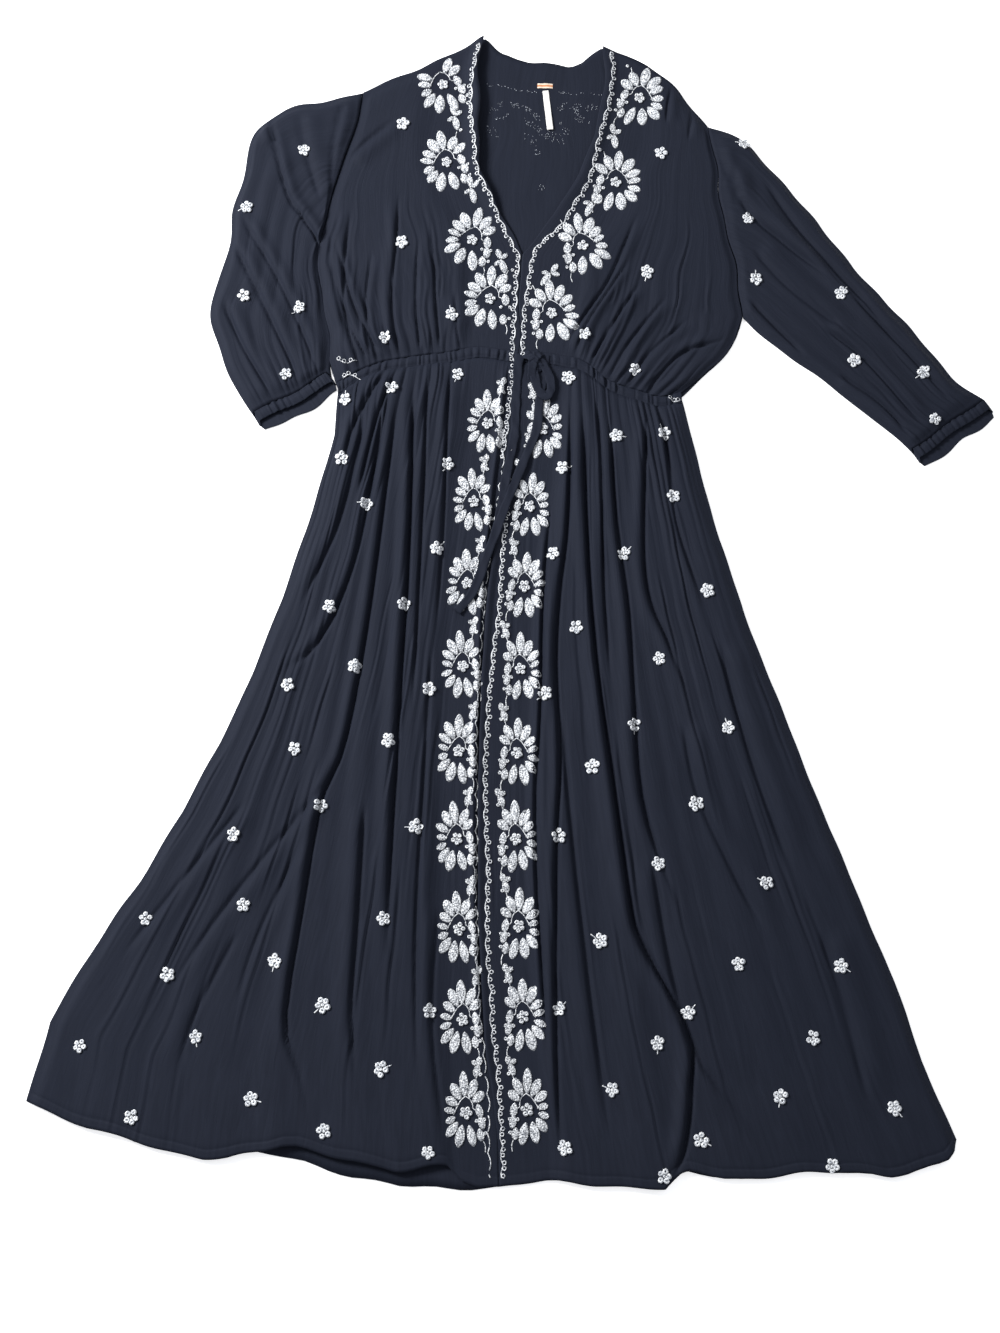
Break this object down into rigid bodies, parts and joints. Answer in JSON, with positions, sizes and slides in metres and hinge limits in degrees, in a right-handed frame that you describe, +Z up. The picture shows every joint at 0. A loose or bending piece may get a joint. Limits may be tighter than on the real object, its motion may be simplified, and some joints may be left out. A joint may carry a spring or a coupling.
{
  "type": "peasant dress",
  "caption": "Long V-neck peasant dress laid flat: gathered drawstring waist, three-quarter sleeves, flared skirt and raised white embroidered flowers down both fronts.",
  "frame": {"origin": "on the surface the dress lies on, under the middle of its outline", "axes": "+X towards the wearer's left across the dress, +Y along its length towards the neck, +Z up from the surface"},
  "size_m": [1.017, 1.2728, 0.0107],
  "materials": {
    "rayon": "matt dark navy crinkled rayon crepe",
    "thread": "white chain-stitched embroidery thread",
    "label_weave": "bare woven label, cream and copper",
    "label_tape": "bare white satin tape"
  },
  "bodies": {
    "root": {"back_bodice": "rayon", "back_skirt": "rayon", "front_bodice_right": "rayon", "front_bodice_left": "rayon", "waist_casing_right": "rayon", "waist_casing_left": "rayon", "front_skirt_right": "rayon", "front_skirt_left": "rayon", "sleeve_right": "rayon", "sleeve_left": "rayon", "cuff_right": "rayon", "cuff_left": "rayon", "drawstring_right": "rayon", "drawstring_left": "rayon", "drawstring_loop": "rayon", "neck_label": "label_weave", "care_label": "label_tape", "flower_bodice_right_1": "thread", "flower_bodice_right_2": "thread", "flower_bodice_right_3": "thread", "flower_bodice_right_4": "thread", "flower_bodice_left_1": "thread", "flower_bodice_left_2": "thread", "flower_bodice_left_3": "thread", "flower_bodice_left_4": "thread", "flower_skirt_right_1": "thread", "flower_skirt_right_2": "thread", "flower_skirt_right_3": "thread", "flower_skirt_right_4": "thread", "flower_skirt_right_5": "thread", "flower_skirt_right_6": "thread", "flower_skirt_right_7": "thread", "flower_skirt_right_8": "thread", "flower_skirt_right_9": "thread", "flower_skirt_left_1": "thread", "flower_skirt_left_2": "thread", "flower_skirt_left_3": "thread", "flower_skirt_left_4": "thread", "flower_skirt_left_5": "thread", "flower_skirt_left_6": "thread", "flower_skirt_left_7": "thread", "flower_skirt_left_8": "thread", "flower_skirt_left_9": "thread"}
  },
  "joints": []
}
